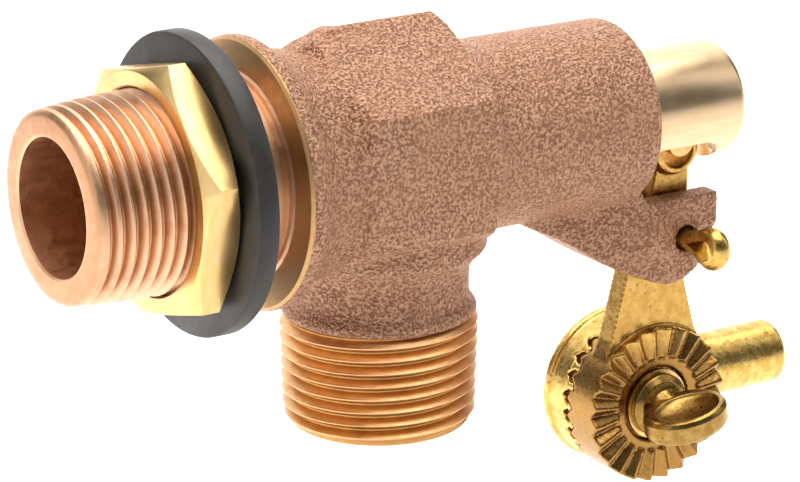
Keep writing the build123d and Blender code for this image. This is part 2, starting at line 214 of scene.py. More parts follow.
def turned_bronze(name, crest_highlight_colour, root_shade_colour, axis, centre, root_r, crest_r):
    """Machined pipe thread: crests painted bright as a highlight, roots painted darker as shade, broad stains
    and fine turning lines.
    """
    r = Recipe(name)
    x, y, z = r.axes()
    radius = radius_about(y, z, centre) if axis == "X" else radius_about(x, y, centre)
    crest = r.step(radius, root_r * MM, crest_r * MM)
    stain = r.noise(5.0 * MM, 3.0, 0.6)
    # Painted shade and highlight: darker in the thread's roots, lighter on its crests.
    colour = r.tint(crest, root_shade_colour, crest_highlight_colour)
    colour = r.tint(r.step(stain, 0.45, 0.75) * 0.35, colour, THREAD_STAIN)
    outside_bore, on_flange = (r.step(radius, low * MM, high * MM) for low, high in (BORE_EDGE, FLANGE_EDGE))
    # Painted light: inside the bore the colour is lifted to a lighter bronze.
    colour = r.tint(outside_bore, BORE_LIGHTENED_BRONZE, colour)
    colour = r.tint(on_flange, colour, FLANGE_BRONZE)
    lines = r.noise(0.35 * MM, 1.0, 0.4, stretch=(3.0, 0.4, 0.4) if axis == "X" else (0.4, 0.4, 3.0))
    wear = r.noise(1.2 * MM, 3.0, 0.6, seed=5.0)
    normal = r.bump(lines * 0.6 + wear * 0.4, 0.25, 0.06 * MM)
    rough = r.spread(wear, 0.3, 0.7, 0.33, 0.50)
    return r.finish(Base_Color=colour, Roughness=rough, Metallic=1.0, Normal=normal)


def satin_brass(name, light, dark, stretch, roughness=(0.22, 0.34)):
    """Machined brass with soft streaks along the axes that have the smaller scale."""
    r = Recipe(name)
    streak = r.noise(0.9 * MM, 3.0, 0.55, stretch=stretch)
    cloud = r.noise(7.0 * MM, 2.0, 0.5, seed=2.0)
    fine = r.noise(0.25 * MM, 2.0, 0.5, stretch=stretch, seed=4.0)
    colour = r.tint(r.step(streak * 0.6 + cloud * 0.4, 0.35, 0.68), dark, light)
    normal = r.bump(streak * 0.5 + fine * 0.5, 0.2, 0.05 * MM)
    rough = r.spread(cloud, 0.3, 0.7, *roughness)
    return r.finish(Base_Color=colour, Roughness=rough, Metallic=1.0, Normal=normal)


# Painted shade: a brown that darkens the lever's foot among its teeth and hub.
FOOT_SHADE_BRASS = (0.30, 0.155, 0.045)
# The painted shade comes on over this many millimetres.
FOOT_SHADE_FADE = 3.0
# Brightness of a pit's floor against the brass round it.
PIT_SHADE = 0.35
SHALLOW_PITS = 0.3


def cast_brass(name, light, dark, pit_depth=0.5, shade_below=None):
    """Tumbled cast brass: golden, softly uneven, with scattered pits; below a height, if given, painted shade
    makes it browner.
    """
    r = Recipe(name)
    swell = r.noise(1.5 * MM, 3.0, 0.55)
    fine = r.noise(0.4 * MM, 2.0, 0.6, seed=6.0)
    pits = 1 - r.step(r.cells(1.3 * MM), 0.05, 0.3)
    scattered = pits * r.step(r.noise(3.0 * MM, seed=8.0), 0.48, 0.6)
    colour = r.tint(r.step(swell, 0.35, 0.65), dark, light)
    colour = r.tint(scattered * 0.7, colour, tuple(c * PIT_SHADE for c in dark))
    if shade_below is not None:
        # Painted shade: browner below the given height.
        height = r.axes()[2]
        below = 1 - r.step(height, (shade_below - FOOT_SHADE_FADE) * MM, shade_below * MM)
        colour = r.tint(below * r.spread(swell, 0.3, 0.7, 0.6, 0.9), colour, FOOT_SHADE_BRASS)
    relief = swell * 0.5 + fine * 0.3 - scattered * pit_depth
    normal = r.bump(relief, 0.4, 0.12 * MM)
    rough = r.spread(fine, 0.3, 0.7, 0.24, 0.38)
    return r.finish(Base_Color=colour, Roughness=rough, Metallic=1.0, Normal=normal)


RUBBER_BLACK = (0.014, 0.013, 0.012)
RUBBER_BLOOM = (0.034, 0.030, 0.024)


def black_rubber():
    """Black rubber with a faint grey bloom and a fine grit."""
    r = Recipe("black_rubber")
    bloom = r.noise(4.0 * MM, 3.0, 0.6)
    grit = r.noise(0.3 * MM, 2.0, 0.6, seed=2.0)
    colour = r.tint(r.step(bloom, 0.4, 0.75), RUBBER_BLACK, RUBBER_BLOOM)
    normal = r.bump(grit, 0.2, 0.06 * MM)
    rough = r.spread(bloom, 0.3, 0.7, 0.42, 0.6)
    return r.finish(Base_Color=colour, Roughness=rough, Metallic=0.0, Normal=normal)


BRONZE = sand_cast_bronze()
# Below this height, in millimetres, the lever's foot gets painted shade and turns browner.
LEVER_FOOT_Z = -34.0
# Least and greatest roughness of the nut's and plunger's turned faces.
SATIN_FINISH = (0.28, 0.40)
NUT_BRASS = satin_brass("nut_brass", (0.78, 0.55, 0.26), (0.70, 0.47, 0.18), (1.0, 0.3, 0.3), SATIN_FINISH)
PLUNGER_BRASS = satin_brass(
    "plunger_brass", (0.80, 0.59, 0.38), (0.72, 0.51, 0.30), (0.12, 1.0, 1.0), SATIN_FINISH,
)
TURNED_BRASS = satin_brass("turned_brass", (0.80, 0.58, 0.26), (0.60, 0.40, 0.14), (1.0, 1.0, 1.0))
CAST_BRASS = cast_brass("cast_brass", (0.76, 0.52, 0.17), (0.60, 0.37, 0.09))
LEVER_BRASS = cast_brass("lever_brass", (0.60, 0.37, 0.11), (0.50, 0.28, 0.07), SHALLOW_PITS, LEVER_FOOT_Z)
PIN_BRASS = cast_brass("pin_brass", (0.70, 0.48, 0.14), (0.52, 0.32, 0.07), SHALLOW_PITS)
SCREW_BRASS = cast_brass("screw_brass", (0.40, 0.26, 0.08), (0.30, 0.17, 0.04), SHALLOW_PITS)
RUBBER = black_rubber()


# ---------------------------------------------------------------- dressing the CAD nodes

FINISHES = {
    "valve_body": BRONZE,
    "valve_seat": TURNED_BRASS,
    "plunger": PLUNGER_BRASS,
    "seat_disc": RUBBER,
    "seat_washer": TURNED_BRASS,
    "seat_screw": TURNED_BRASS,
    "plunger_oring": RUBBER,
    "link_pin": TURNED_BRASS,
    "lever": LEVER_BRASS,
    "fulcrum_cotter": PIN_BRASS,
    "float_arm": CAST_BRASS,
    "clamp_washer": TURNED_BRASS,
    "thumb_screw": SCREW_BRASS,
    "lock_nut": NUT_BRASS,
    "tank_gasket": RUBBER,
}


def dress(node, material):
    """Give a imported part's node its finish."""
    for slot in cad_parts[node].material_slots:
        slot.material = material


for node_name, finish_material in FINISHES.items():
    dress(node_name, finish_material)


# ---------------------------------------------------------------- workshop
# From here to the studio, sizes and places are in millimetres until they reach a mesh.

TURN = {"X": (pi / 2, 0.0, pi / 2), "Y": (-pi / 2, 0.0, 0.0), "Z": (0.0, 0.0, 0.0)}


def at_axis(axis, along, across=(0.0, 0.0)):
    """A point in metres from a place along an axis and two places across it, all in millimetres."""
    first, second = across
    point = {"X": (along, first, second), "Y": (first, along, second), "Z": (first, second, along)}[axis]
    return Vector(point) * MM


def only(piece):
    """Select this piece alone."""
    bpy.ops.object.select_all(action="DESELECT")
    piece.select_set(True)
    bpy.context.view_layer.objects.active = piece
    return piece


def settle(piece, name):
    """Put the place and turn into the mesh, so that the object sits at the origin."""
    only(piece)
    piece.name = name
    piece.data.name = name
    bpy.ops.object.transform_apply(location=True, rotation=True, scale=True)
    return piece


def edit(piece):
    """Enter edit mode with all of the piece selected."""
    only(piece)
    bpy.ops.object.mode_set(mode="EDIT")
    bpy.ops.mesh.select_all(action="SELECT")


def done():
    """Leave edit mode with every face pointing outwards."""
    bpy.ops.mesh.select_all(action="SELECT")
    bpy.ops.mesh.normals_make_consistent(inside=False)
    bpy.ops.object.mode_set(mode="OBJECT")


def apply_modifier(piece, kind, **settings):
    """Add a modifier with these settings and work it into the mesh."""
    only(piece)
    modifier = piece.modifiers.new(kind.lower(), kind)
    for key, value in settings.items():
        setattr(modifier, key, value)
    bpy.ops.object.modifier_apply(modifier=modifier.name)
    return piece


def combine(base, tool, operation="UNION"):
    """Join the tool to the base, or keep only what they share; the tool is used up."""
    apply_modifier(base, "BOOLEAN", object=tool, operation=operation, solver="MANIFOLD")
    bpy.data.objects.remove(tool)
    return base


def cut(base, tool):
    """Take the tool's shape out of the base."""
    return combine(base, tool, "DIFFERENCE")


def bar(name, axis, start, end, across, radius, sides=96):
    """A round, or few-sided, bar along an axis."""
    bpy.ops.object.select_all(action="DESELECT")
    bpy.ops.mesh.primitive_cone_add(
        vertices=sides,
        radius1=radius * MM,
        radius2=radius * MM,
        depth=(end - start) * MM,
        location=at_axis(axis, (start + end) / 2, across),
        rotation=TURN[axis],
    )
    return settle(bpy.context.object, name)


def block(name, low, high):
    """A rectangular block between two corners in millimetres."""
    bpy.ops.object.select_all(action="DESELECT")
    middle = (Vector(low) + Vector(high)) / 2 * MM
    bpy.ops.mesh.primitive_cube_add(size=1.0, location=middle)
    bpy.context.object.scale = (Vector(high) - Vector(low)) * MM
    return settle(bpy.context.object, name)


def turned(name, outline, axis="X", across=(0.0, 0.0), sides=128):
    """A lathe shape from (place along the axis, radius) points; an outline that comes back is a ring."""
    along, radius = outline[0]
    bpy.ops.object.select_all(action="DESELECT")
    centre = at_axis(axis, along, across)
    settings = {"location": centre, "rotation": TURN[axis]}
    bpy.ops.mesh.primitive_circle_add(vertices=sides, radius=radius * MM, **settings)
    piece = settle(bpy.context.object, name)
    edit(piece)
    for next_along, next_radius in outline[1:]:
        shift = at_axis(axis, next_along - along)
        bpy.ops.mesh.extrude_region_move(TRANSFORM_OT_translate={"value": shift})
        if next_radius != radius:
            grow = next_radius / radius
            value = {"X": (1, grow, grow), "Y": (grow, 1, grow), "Z": (grow, grow, 1)}[axis]
            centre = at_axis(axis, next_along, across)
            bpy.ops.transform.resize(value=value, center_override=centre)
        along, radius = next_along, next_radius
    bpy.ops.mesh.select_all(action="SELECT")
    if outline[0] == outline[-1]:
        bpy.ops.mesh.remove_doubles(threshold=1e-7)
    else:
        bpy.ops.mesh.fill_holes(sides=0)
    done()
    return piece


def plate(name, outline, low_y, high_y):
    """A flat plate with an outline of (X, Z) points, from low_y to high_y."""
    bpy.ops.object.select_all(action="DESELECT")
    bpy.ops.mesh.primitive_circle_add(vertices=len(outline), radius=MM, fill_type="NGON")
    piece = bpy.context.object
    for vertex, (x, z) in zip(piece.data.vertices, outline):
        vertex.co = Vector((x, low_y, z)) * MM
    settle(piece, name)
    edit(piece)
    thickness = Vector((0.0, high_y - low_y, 0.0)) * MM
    bpy.ops.mesh.extrude_region_move(TRANSFORM_OT_translate={"value": thickness})
    done()
    return piece


def arc(centre, radius, start, end, steps):
    """(X, Z) points on an arc; angles in degrees from +X towards +Z."""
    angles = [radians(start + (end - start) * i / steps) for i in range(steps + 1)]
    return [(centre[0] + radius * cos(a), centre[1] + radius * sin(a)) for a in angles]


def soften(piece, width):
    """Round the sharp edges a little, as handling and tumbling do."""
    settings = {"limit_method": "ANGLE", "angle_limit": radians(28.0), "segments": 2}
    apply_modifier(piece, "BEVEL", width=width * MM, use_clamp_overlap=True, **settings)
    return smooth(piece, 35.0)


def smooth(piece, angle):
    """Shade smooth, but keep edges sharper than the angle crisp."""
    only(piece)
    bpy.ops.object.shade_smooth_by_angle(angle=radians(angle))
    return piece


def sand_cast(piece, voxel, grain_size, grain_depth):
    """Draw a skin over joined rough shapes, melt its inner corners and give it the mould's grain."""
    apply_modifier(piece, "REMESH", mode="VOXEL", voxel_size=voxel * MM)
    apply_modifier(piece, "SMOOTH", factor=0.5, iterations=2)
    sand = bpy.data.textures.new(piece.name + "_sand", "CLOUDS")
    sand.noise_scale = grain_size * MM
    sand.noise_depth = 1
    settings = {"texture": sand, "texture_coords": "LOCAL", "strength": grain_depth * MM}
    apply_modifier(piece, "DISPLACE", mid_level=0.5, **settings)
    only(piece)
    bpy.ops.object.shade_smooth()
    return piece


def copy_of(node, name):
    """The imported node's own shape as a new piece, its loose triangles merged."""
    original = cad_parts[node]
    piece = bpy.data.objects.new(name, original.data.copy())
    piece.data.materials.clear()
    bpy.context.scene.collection.objects.link(piece)
    edit(piece)
    bpy.ops.mesh.remove_doubles(threshold=1e-6)
    bpy.ops.object.mode_set(mode="OBJECT")
    return piece


def hand_over(piece, body, slot, material, *nodes):
    """Give a finished piece its material and body, and let it stand for its CAD nodes; the slot is not used.
    """
    piece.data.materials.clear()
    piece.data.materials.append(material)
    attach(piece, body)
    if nodes:
        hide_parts(*nodes)
    return piece


# ---------------------------------------------------------------- pipe threads

# A three-quarter-inch pipe thread: 14 to the inch, its radius growing by 1 in 32 of its length.
PITCH = 25.4 / 14
TAPER = 1 / 32
CREST_R = 13.0
THREAD_DEPTH = 1.15
THREAD_STEPS = 120
RUN_IN = 1.5 * PITCH
# One ridge from root to root: (share of the pitch, share of the depth below the crest).
RIDGE = (
    (0.0, 1.0), (0.07, 0.97), (0.43, 0.06), (0.465, 0.0),
    (0.535, 0.0), (0.57, 0.06), (0.93, 0.97), (1.0, 1.0),
)


def threaded_bar(name, start, end, axis, across):
    """A right-hand pipe thread, solid to its axis, widening from its free end."""
    bpy.ops.object.select_all(action="DESELECT")
    bpy.ops.mesh.primitive_plane_add(size=MM)
    piece = bpy.context.object
    edit(piece)
    bpy.ops.mesh.merge(type="CENTER")
    place = Vector((0.0, 0.0, 0.0))
    for share, depth in RIDGE:
        target = Vector((CREST_R - THREAD_DEPTH * depth, 0.0, share * PITCH)) * MM
        if share == 0.0:
            bpy.ops.transform.translate(value=target)
        else:
            bpy.ops.mesh.extrude_vertices_move(TRANSFORM_OT_translate={"value": target - place})
        place = target
    bpy.ops.object.mode_set(mode="OBJECT")
    turns = int((end - start) / PITCH) + 3
    apply_modifier(
        piece, "SCREW", axis="Z", angle=2 * pi, screw_offset=PITCH * MM, iterations=turns,
        steps=THREAD_STEPS, render_steps=THREAD_STEPS, use_merge_vertices=True, merge_threshold=1e-6,
    )
    edit(piece)
    bpy.ops.mesh.remove_doubles(threshold=1e-6)
    length = end - start
    for place, clear in ((RUN_IN, "clear_inner"), (RUN_IN + length, "clear_outer")):
        bpy.ops.mesh.select_all(action="SELECT")
        settings = {"plane_co": (0.0, 0.0, place * MM), "plane_no": (0.0, 0.0, 1.0), clear: True}
        bpy.ops.mesh.bisect(**settings)
        bpy.ops.mesh.edge_face_add()
    done()
    for vertex in piece.data.vertices:
        grown = 1 + TAPER * (vertex.co.z / MM - RUN_IN) / CREST_R
        vertex.co.x *= grown
        vertex.co.y *= grown
        vertex.co.z -= RUN_IN * MM
    piece.rotation_euler = TURN[axis]
    piece.location = at_axis(axis, start, across)
    return settle(piece, name)


# ---------------------------------------------------------------- the body casting

NOSE_X = BODY_LOW.x / MM
OUTLET_END_Z = BODY_LOW.z / MM
FORK_END_X = BODY_HIGH.x / MM
OUTLET_X = 21.4
FLANGE_R = BODY_HIGH.y / MM
BORE_R = 9.1
SEAT_THREAD_R = 7.9
BORE_DROP = 1.1
SHANK_R = 13.3
BLOCK_START, BLOCK_END = 10.4, 30.4
BLOCK_BACK = BLOCK_END + 0.6
BLOCK_FLATS = 30.9
BLOCK_TIP_R = 18.2
NECK_R = 14.5
BARREL_R = 12.9
BARREL_Z = -0.4
BARREL_END = 59.2
PLUNGER_BORE_R = 8.25
CHAMBER_R = 11.0
FULCRUM = (69.6, -19.5)
COTTER_HOLE_R = 1.78
# Clearance of the casting's holes, so that the machined pieces make the visible edges.
INSIDE_GAP = 0.4


def hexagon_bar(name, start, end, flats, turn=0.0):
    """A hexagonal bar along X with a corner at the top, turned about X by `turn` degrees."""
    piece = bar(name, "X", start, end, (0.0, 0.0), flats / sqrt(3), sides=6)
    piece.rotation_euler = (radians(turn), 0.0, 0.0)
    return settle(piece, name)


def hexagonal_block():
    """The spanner block, its corners sloped away in front and rounded behind."""
    body = hexagon_bar("block", BLOCK_START, BLOCK_BACK, BLOCK_FLATS)
    tips = turned("tips", [
        (BLOCK_START - 3, 13.2), (BLOCK_START + 2.4, BLOCK_TIP_R), (BLOCK_END - 0.9, BLOCK_TIP_R),
        (BLOCK_END - 0.2, BLOCK_TIP_R - 0.9), (BLOCK_BACK, BLOCK_TIP_R - 1.9),
    ])
    return combine(body, tips, "INTERSECT")


def flange_and_neck():
    """The flange's rough back and the flared neck behind it."""
    return turned("neck", [
        (0.25, FLANGE_R - 0.15), (0.5, FLANGE_R), (2.0, FLANGE_R), (2.7, FLANGE_R - 0.5), (4.0, 16.6),
        (6.0, 15.7), (8.6, 15.3), (9.6, 15.15), (10.0, NECK_R), (BLOCK_START + 2, NECK_R),
    ])


def top_gusset():
    """The wedge that fills between the neck and the block's top ridge, at the mould's parting plane."""
    side = [(5.5, 13.0), (6.6, 15.0), (12.9, 17.75), (15.0, 17.6), (15.0, 13.0)]
    return plate("gusset", side, -1.5, 1.5)


def barrel():
    """The round barrel that guides the plunger, flowing out of the block."""
    return turned("barrel", [
        (BLOCK_END - 3, 15.5), (BLOCK_END + 0.5, 15.5), (BLOCK_END + 1.2, 14.6), (BLOCK_END + 2.2, 13.9),
        (BLOCK_END + 3.6, 13.4), (BLOCK_END + 6.0, BARREL_R + 0.2), (BARREL_END - 0.5, BARREL_R + 0.1),
        (BARREL_END, BARREL_R - 0.4),
    ], across=(0.0, BARREL_Z))


def outlet_neck():
    """The outlet's rough neck, with a bead just above the thread."""
    return turned("outlet_neck", [
        (-22.4, 12.9), (-21.7, 13.35), (-20.9, 12.9), (-20.2, 12.35), (-19.0, 12.15),
        (-16.2, 12.2), (-15.0, 12.6), (-13.9, 13.5), (-12.9, 14.6), (-8.0, 14.6),
    ], "Z", (OUTLET_X, 0.0))


FORK_HALF = 5.3
FORK_GAP_HALF = 2.0
FORK_TOP_Z = -13.4
FORK_SWOOP = [
    (42.7, -13.5), (47.8, -16.0), (54.6, -20.4), (58.2, -22.5), (61.6, -24.1), (64.0, -25.1), (66.3, -25.75),
]


def fork():
    """The two ears that carry the lever, under the end of the barrel."""
    toe = arc((67.0, -19.0), 6.8, -82, 0, 8)
    side = [(36.0, -9.0)] + FORK_SWOOP + toe
    side += [(FORK_END_X, -18.0), (FORK_END_X, FORK_TOP_Z), (62.7, FORK_TOP_Z), (59.2, -7.0), (50.0, -5.0)]
    ears = plate("ears", side, -FORK_HALF, FORK_HALF)
    opening = [(64.3, -3.0), (82.0, -3.0), (82.0, -32.0), (59.0, -32.0), (61.2, -24.0), (64.0, -13.0)]
    return cut(ears, plate("gap", opening, -FORK_GAP_HALF, FORK_GAP_HALF))


PAD_R = BARREL_R + 0.45


def foundry_pad():
    """A plain raised pad on the barrel's front."""
    pad = turned("pad", [(37.2, PAD_R), (51.5, PAD_R)], across=(0.0, BARREL_Z))
    keep = block("keep", (36.0, -20.0, -0.4), (53.0, -5.0, 5.6))
    return combine(pad, keep, "INTERSECT")


def casting():
    """The sand-cast body, without its machined ends."""
    body = hexagonal_block()
    for part in (flange_and_neck(), top_gusset(), barrel(), outlet_neck(), fork(), foundry_pad()):
        combine(body, part)
    axis_below = (0.0, -BORE_DROP)
    cut(body, bar("bore", "X", -5.0, 8.8, (0.0, 0.0), BORE_R + INSIDE_GAP))
    cut(body, bar("seat_thread", "X", 8.0, 14.0, axis_below, SEAT_THREAD_R))
    cut(body, bar("chamber", "X", 13.0, 26.0, axis_below, CHAMBER_R))
    cut(body, bar("plunger_bore", "X", 25.0, 90.0, axis_below, PLUNGER_BORE_R + 0.15))
    cut(body, bar("outlet_bore", "Z", -40.0, -19.0, (OUTLET_X, 0.0), BORE_R + INSIDE_GAP))
    cut(body, bar("passage", "Z", -20.0, 0.0, (OUTLET_X, 0.0), SEAT_THREAD_R))
    cut(body, bar("cotter_hole", "Y", -12.0, 12.0, FULCRUM, COTTER_HOLE_R + 0.1))
    body.name = "body_casting"
    sand_cast(body, voxel=0.42, grain_size=0.9, grain_depth=0.09)
    return hand_over(body, "casting", "cast_bronze", BRONZE, "valve_body")


NOSE_R = 12.7
THREAD_END_X = -9.9
UNDERCUT_R = SHANK_R - 0.25
FACED_R = FLANGE_R - 0.12


def inlet_spigot():
    """The machined inlet: worn nose, pipe thread, shank and the flange's faced side."""
    spigot = threaded_bar("inlet_spigot", NOSE_X + 0.3, -9.0, "X", (0.0, 0.0))
    envelope = turned("envelope", [
        (NOSE_X - 1, 12.2), (NOSE_X + 0.6, 12.6), (NOSE_X + 2.4, 12.8), (NOSE_X + 5.0, 13.1),
        (THREAD_END_X - 0.7, 13.7), (THREAD_END_X, 12.9), (-8.0, 12.9),
    ])
    combine(spigot, envelope, "INTERSECT")
    nose = turned("nose", [
        (NOSE_X, 9.3), (NOSE_X, 11.6), (NOSE_X + 0.12, 12.1), (NOSE_X + 0.4, 12.5), (NOSE_X + 0.8, NOSE_R),
        (NOSE_X + 1.2, 12.6), (NOSE_X + 1.6, 12.2), (NOSE_X + 1.9, 11.6),
    ])
    combine(spigot, nose)
    shank = turned("shank", [
        (THREAD_END_X - 0.7, 12.4), (THREAD_END_X, SHANK_R), (-1.3, SHANK_R), (-1.1, UNDERCUT_R),
        (-0.35, UNDERCUT_R), (-0.3, 13.6), (0.0, 13.9), (0.0, FLANGE_R - 0.5), (0.35, FACED_R),
        (0.8, FACED_R),
    ])
    combine(spigot, shank)
    mouth = turned("mouth", [
        (NOSE_X - 1, BORE_R + 1.3), (NOSE_X + 0.05, BORE_R + 0.25), (NOSE_X + 0.25, BORE_R),
        (8.0, BORE_R), (9.0, BORE_R),
    ])
    cut(spigot, mouth)
    return smooth(spigot, 32.0)


def outlet_spigot():
    """The machined outlet: pipe thread with a worn lip and an open mouth."""
    spigot = threaded_bar("outlet_spigot", OUTLET_END_Z + 0.2, -21.9, "Z", (OUTLET_X, 0.0))
    envelope = turned("envelope", [
        (OUTLET_END_Z, 12.0), (OUTLET_END_Z + 1.0, 12.7), (OUTLET_END_Z + 1.9, 13.3),
        (-23.4, 13.7), (-22.4, 12.5), (-21.0, 12.5),
    ], "Z", (OUTLET_X, 0.0))
    combine(spigot, envelope, "INTERSECT")
    lip = turned("lip", [
        (OUTLET_END_Z, 11.0), (OUTLET_END_Z, 11.9), (OUTLET_END_Z + 0.25, 12.2), (OUTLET_END_Z + 1.3, 12.25),
        (OUTLET_END_Z + 2.2, 11.8),
    ], "Z", (OUTLET_X, 0.0))
    combine(spigot, lip)
    cut(spigot, turned("mouth", [
        (OUTLET_END_Z - 1, BORE_R + 1.6), (OUTLET_END_Z + 0.5, BORE_R + 0.1), (OUTLET_END_Z + 0.6, BORE_R),
        (-19.0, BORE_R),
    ], "Z", (OUTLET_X, 0.0)))
    return smooth(spigot, 32.0)


# ---------------------------------------------------------------- tank fastening

NUT_FLATS = 31.75
NUT_TURN = 16.2
NUT_BORE_R = 13.6


def lock_nut():
    """The thin hexagon nut, chamfered on both faces; its bore is left plain over the thread."""
    start, end = NUT_LOW.x / MM, NUT_HIGH.x / MM
    nut = hexagon_bar("nut", start, end, NUT_FLATS, NUT_TURN)
    edge = NUT_FLATS / 2 - 0.2
    tip = NUT_FLATS / sqrt(3) + 0.4
    slope = (tip - edge) * 0.55
    chamfers = turned("chamfers", [(start, edge), (start + slope, tip), (end - slope, tip), (end, edge)])
    combine(nut, chamfers, "INTERSECT")
    soften(nut, 0.16)
    cut(nut, turned("nut_bore", [
        (start - 1, NUT_BORE_R + 1.2), (start + 0.2, NUT_BORE_R), (end - 0.7, NUT_BORE_R),
        (end + 1, NUT_BORE_R + 1.7),
    ]))
    return smooth(nut, 30.0)


def gasket():
    """The flat rubber ring, its corners slightly rounded."""
    start, end = GASKET_LOW.x / MM, GASKET_HIGH.x / MM
    outer, inner = GASKET_HIGH.y / MM, 13.7
    ring = turned("gasket", [
        (start, inner + 0.15), (start, outer - 0.45), (start + 0.12, outer - 0.14), (start + 0.4, outer),
        (end - 0.4, outer), (end - 0.12, outer - 0.14), (end, outer - 0.45), (end, inner + 0.15),
        (end - 0.15, inner), (start + 0.15, inner), (start, inner + 0.15),
    ], sides=160)
    return smooth(ring, 40.0)


# ---------------------------------------------------------------- plunger

PLUNGER_R = 8.15
RING_GROOVE = (36.6, 39.4)
RING_GROOVE_R = 6.0
LINK_PIN = (68.7, -5.3)
LINK_PIN_R = 2.2
PIN_HOLE_HALF = 4.65


def plunger():
    """The sliding plunger: cup for the seat disc, ring groove, and the lever's notch and slot."""
    start, end = PLUNGER_LOW.x / MM, PLUNGER_HIGH.x / MM
    stem = turned("plunger_stem", [
        (start, PLUNGER_R - 0.3), (start + 0.3, PLUNGER_R), (RING_GROOVE[0], PLUNGER_R),
        (RING_GROOVE[0], RING_GROOVE_R), (RING_GROOVE[1], RING_GROOVE_R), (RING_GROOVE[1], PLUNGER_R),
        (end - 1.3, PLUNGER_R), (end - 0.75, PLUNGER_R - 0.14), (end - 0.3, PLUNGER_R - 0.5),
        (end, PLUNGER_R - 1.1),
    ], across=(0.0, -BORE_DROP))
    cut(stem, bar("cup", "X", start - 1, 24.7, (0.0, -BORE_DROP), 7.05))
    notch = plate("notch", [
        (61.5, -14.0), (61.5, -7.5), (62.1, -6.1), (63.8, -5.3), (71.4, -5.3), (73.3, -6.0), (74.3, -7.4),
        (74.5, -9.0), (74.5, -14.0),
    ], -12.0, 12.0)
    cut(stem, notch)
    cut(stem, block("eye_slot", (63.6, -3.7, -14.0), (74.5, 3.7, 0.6)))
    cut(stem, bar("pin_hole", "Y", -PIN_HOLE_HALF, PIN_HOLE_HALF, LINK_PIN, LINK_PIN_R, sides=48))
    return soften(stem, 0.14)


# ---------------------------------------------------------------- lever, float arm and their clamp

DISC = (66.9, -44.4)
TEETH = 24
MESH_LINE_Y = 3.85
NOTCH_R = 1.45
RIM_ROOT_R = 11.05
RIM_CLEAR_R = 12.6
ROOT_Y = -2.75


def wear_round(piece):
    """A small brass casting's edges are worn round in the tumbling barrel."""
    return sand_cast(piece, voxel=0.2, grain_size=0.9, grain_depth=0.035)


def lever():
    """The lever, with the plain ring inside its front teeth level with their roots."""
    piece = copy_of("lever", "lever_casting")
    combine(piece, bar("hub_ring", "Y", ROOT_Y, -0.5, DISC, 7.2))
    cut(piece, bar("ring_face", "Y", -6.0, -2.7, DISC, 6.9))
    cut(piece, bar("counterbore", "Y", -6.0, -1.45, DISC, 5.6))
    return wear_round(piece)


def float_arm():
    """The rod's arm: the mesh line of its teeth opens at the rim, and its back edge stands proud."""
    piece = copy_of("float_arm", "arm_casting")
    rim = turned("rim", [
        (4.4, RIM_ROOT_R), (8.0, RIM_ROOT_R), (8.3, RIM_ROOT_R + 0.4), (8.3, RIM_CLEAR_R), (4.4, RIM_CLEAR_R),
        (4.4, RIM_ROOT_R),
    ], "Y", DISC)
    reach = block("reach", (50.0, 0.0, -60.0), (69.5, 12.0, -30.0))
    cut(piece, combine(rim, reach, "INTERSECT"))
    for tooth in range(TEETH):
        notch = bar("notch", "X", 9.8, 13.0, (0.0, 0.0), NOTCH_R, sides=3)
        notch.rotation_euler = (-pi / 2, 0.0, 0.0)
        settle(notch, "notch")
        notch.rotation_euler = (0.0, radians((tooth + 0.5) * 360 / TEETH), 0.0)
        notch.location = Vector((DISC[0], MESH_LINE_Y, DISC[1])) * MM
        cut(piece, settle(notch, "notch"))
    return wear_round(piece)


STUD_R = 2.9
STUD_END_Y = 8.8
COLLAR_R = 4.6
SPADE_TILT = 10.5
SPADE_HALF = (6.4, 5.2)
SPADE_Y = -9.4
DISH_SIZE = (5.1, 3.75, 1.6)
DISH_Y = -10.0
DISH_Z = 2.1


def thumb_screw():
    """Stud, chamfered collar and a dished oval spade."""
    stem = turned("screw", [
        (-6.6, 1.0), (-6.2, 1.7), (-5.2, 2.3), (-4.6, 2.7), (-4.45, 3.7), (-3.6, COLLAR_R),
        (ROOT_Y, COLLAR_R), (ROOT_Y, STUD_R), (STUD_END_Y - 0.5, STUD_R), (STUD_END_Y, STUD_R - 0.5),
    ], "Y", DISC, sides=64)
    edge = [(-1.8, 0.86), (-1.6, 0.94), (-1.0, 1.0), (1.0, 1.0), (1.6, 0.94), (1.8, 0.86)]
    spade = turned("spade", edge, "Z", sides=64)
    spade.scale = (*SPADE_HALF, 1.0)
    spade.location = Vector((0.0, SPADE_Y, 0.0)) * MM
    settle(spade, "spade")
    for side in (1, -1):
        bpy.ops.object.select_all(action="DESELECT")
        bpy.ops.mesh.primitive_uv_sphere_add(segments=48, ring_count=24, radius=MM)
        dish = bpy.context.object
        dish.scale = DISH_SIZE
        dish.location = Vector((0.0, DISH_Y, side * DISH_Z)) * MM
        cut(spade, settle(dish, "dish"))
    spade.rotation_euler = (0.0, -radians(SPADE_TILT), 0.0)
    spade.location = Vector((DISC[0], 0.0, DISC[1])) * MM
    combine(stem, settle(spade, "spade"))
    stem.name = "clamp_screw"
    return sand_cast(stem, voxel=0.12, grain_size=0.8, grain_depth=0.02)


COTTER_R = 1.6
EYE_Y = -10.9
EYE_INNER_R = 1.5
EYE_SWEEP = 125.0
# The legs, from the eye to the spread tips: (place along Y, gap to the middle plane, turn in degrees).
LEG_STATIONS = (
    (-8.3, 0.75, -4.0), (-7.0, 0.30, 10.0), (-5.6, 0.05, 25.0), (-4.6, 0.03, 4.0),
    (6.2, 0.03, 0.0), (7.1, 0.25, -14.0), (9.9, 1.75, -12.0),
)
# A half-round section's middle lies this far from its flat.
HALF_ROUND_MIDDLE = 4 * COTTER_R / (3 * pi)


